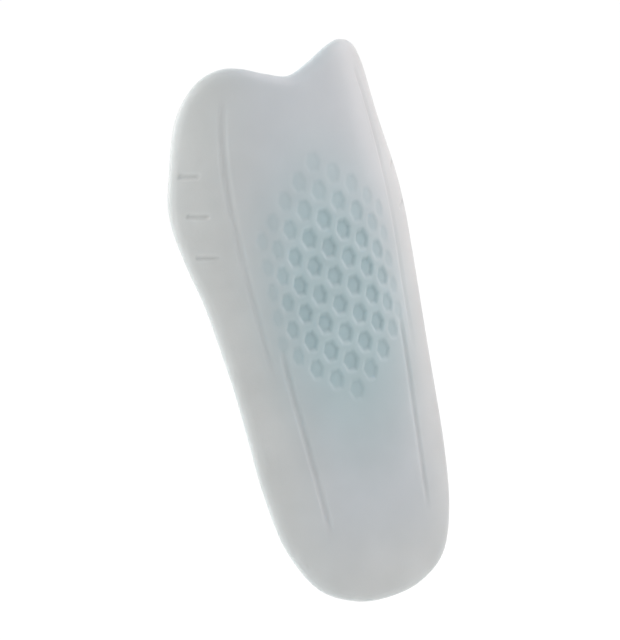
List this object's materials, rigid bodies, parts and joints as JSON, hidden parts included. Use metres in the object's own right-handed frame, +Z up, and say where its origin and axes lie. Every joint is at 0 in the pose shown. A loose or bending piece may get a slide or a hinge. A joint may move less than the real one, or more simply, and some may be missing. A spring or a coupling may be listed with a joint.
{
  "type": "ski shin pad",
  "caption": "Soft moulded gel pad with rounded upper lobes and a narrower tongue, curved round the front of a shin under a ski boot, with a honeycomb field and flex grooves.",
  "frame": {"origin": "on the skin face, on the centre line, halfway down the pad", "axes": "+Z up the leg, +Y out of the skin face into the shin, so the front of the pad faces -Y; +X across the pad"},
  "size_m": [0.1036, 0.0232, 0.1999],
  "materials": {
    "milky_gel": "soft matte moulded gel, milky and faintly see-through, pale ice blue"
  },
  "bodies": {
    "root": {"gel_pad": "milky_gel"}
  },
  "joints": []
}
